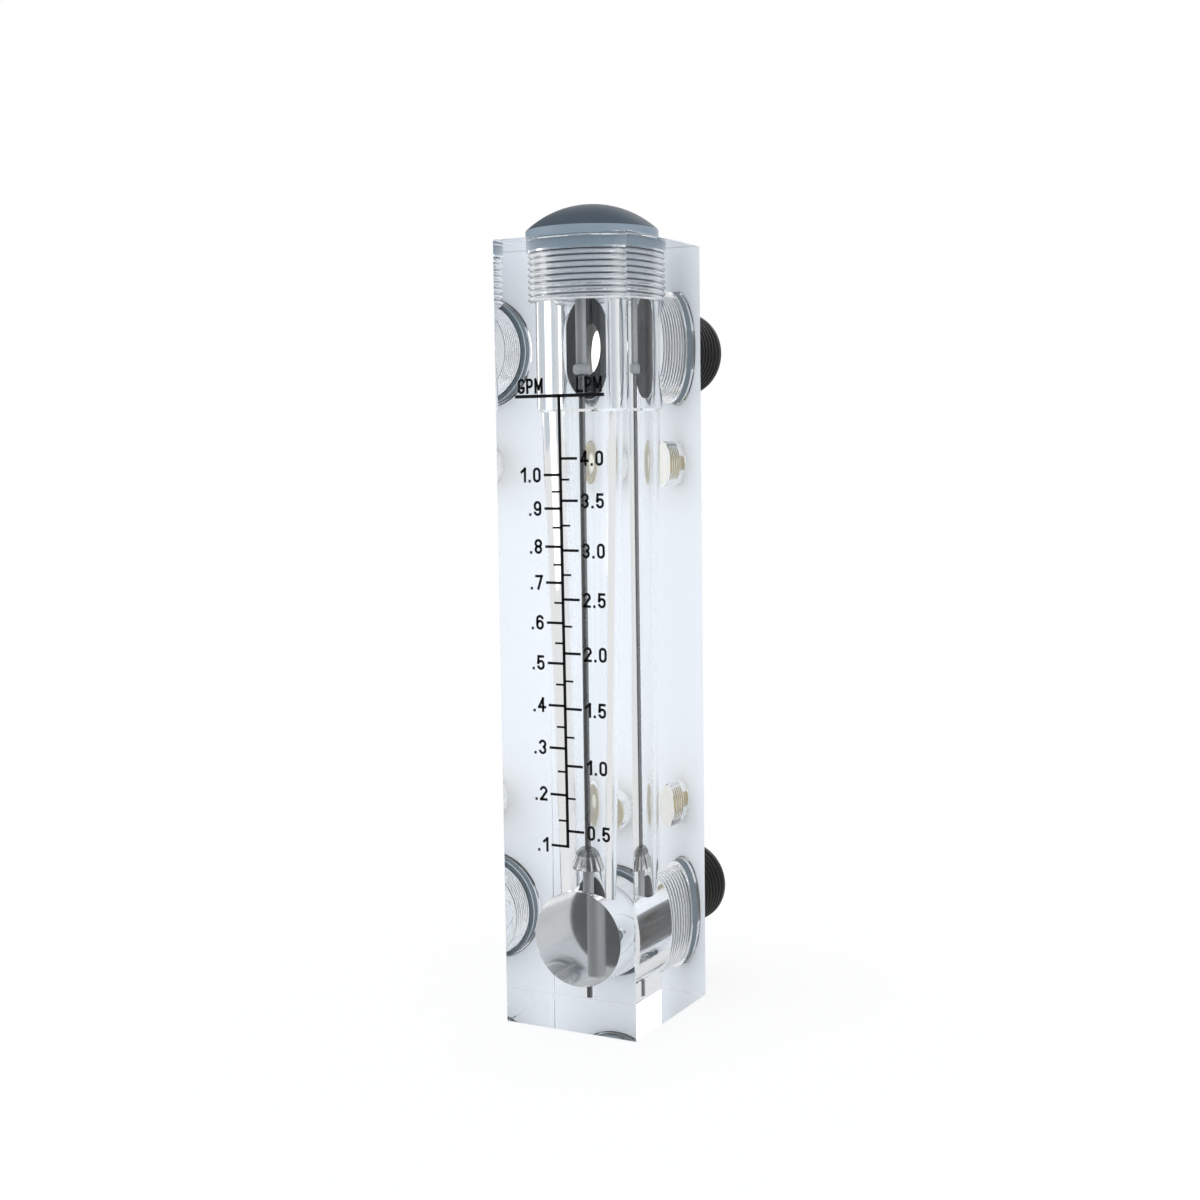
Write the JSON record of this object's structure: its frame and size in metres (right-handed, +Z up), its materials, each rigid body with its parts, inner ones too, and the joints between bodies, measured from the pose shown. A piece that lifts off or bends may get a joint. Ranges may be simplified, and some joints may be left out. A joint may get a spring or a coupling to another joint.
{
  "type": "rotameter",
  "caption": "Panel-mount liquid flow meter: clear block with a tapered bore, a float on a guide rod, a domed top plug and two threaded connectors at the back.",
  "frame": {"origin": "centre of the clear block's bottom face", "axes": "+Z up along the metering bore, +Y towards the panel at the back, +X across the scale face"},
  "size_m": [0.034, 0.0653, 0.1893],
  "materials": {
    "clear_acrylic": "polished clear acrylic",
    "grey_plastic": "slate grey moulded plastic, satin",
    "black_plastic": "black moulded plastic, satin",
    "seal_rubber": "blue-grey rubber",
    "stainless": "turned stainless steel",
    "sleeve_plastic": "light grey plastic tube",
    "stop_plastic": "pale grey moulded bead",
    "brass": "machined brass"
  },
  "bodies": {
    "body": {"meter_block": "clear_acrylic", "top_plug": "grey_plastic", "plug_seal": "seal_rubber", "inlet_connector": "black_plastic", "inlet_seal": "seal_rubber", "outlet_connector": "black_plastic", "outlet_seal": "seal_rubber", "guide_rod": "stainless", "lower_rod_sleeve": "sleeve_plastic", "upper_rod_sleeve": "sleeve_plastic", "float_stop": "stop_plastic", "lower_mount_insert": "brass", "upper_mount_insert": "brass"},
    "float": {"float": "stainless"}
  },
  "joints": [
    {"name": "float_slide", "type": "slide", "parent": "body", "child": "float", "axis": [0, 0, 1], "range_m": [0, 0.11]}
  ]
}
